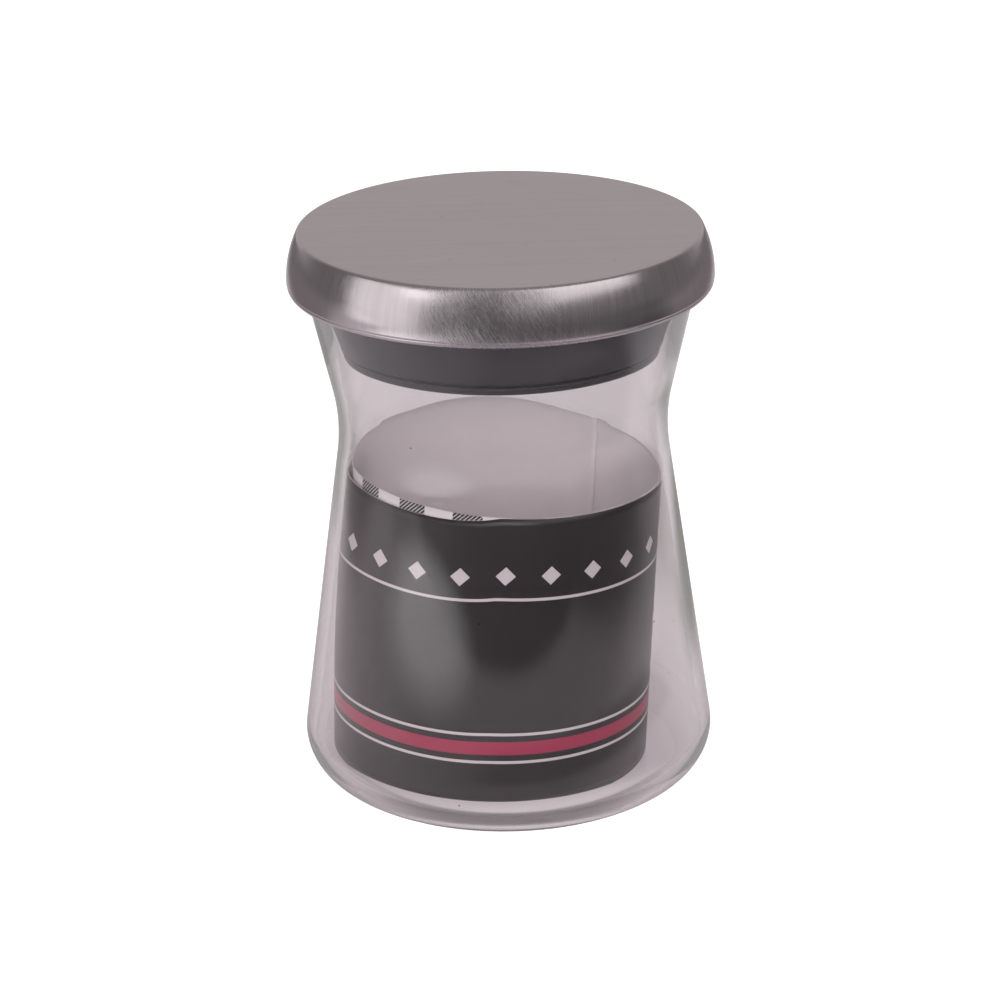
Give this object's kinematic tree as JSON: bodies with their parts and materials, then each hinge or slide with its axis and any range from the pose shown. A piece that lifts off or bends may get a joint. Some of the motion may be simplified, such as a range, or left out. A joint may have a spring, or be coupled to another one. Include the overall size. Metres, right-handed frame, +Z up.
{
  "type": "glass storage jar",
  "caption": "Waisted clear glass storage jar with a lift-off brushed steel lid, a plastic plug with a rubber seal ring, and a rolled paper insert inside.",
  "frame": {"origin": "centre of the jar's foot, on the surface that it stands on", "axes": "+Z up the jar's axis; -Y towards the pictured front; +X to the right in the picture"},
  "size_m": [0.0944, 0.0944, 0.128],
  "materials": {
    "clear_glass": "clear polished",
    "brushed_steel": "brushed",
    "plug_plastic": "satin",
    "seal_rubber": "matte",
    "printed_paper": "satin printed paper"
  },
  "bodies": {
    "jar": {"glass_body": "clear_glass"},
    "lid": {"steel_cap": "brushed_steel", "lid_plug": "plug_plastic", "gasket_ring": "seal_rubber"},
    "insert": {"paper_insert": "printed_paper"}
  },
  "joints": [
    {"name": "lid_lift", "type": "slide", "parent": "jar", "child": "lid", "axis": [0, 0, 1], "range_m": [0, 0.06]},
    {"name": "insert_turn", "type": "hinge", "parent": "jar", "child": "insert", "pos_m": [0, 0, 0.005], "axis": [0, 0, 1], "continuous": true}
  ]
}
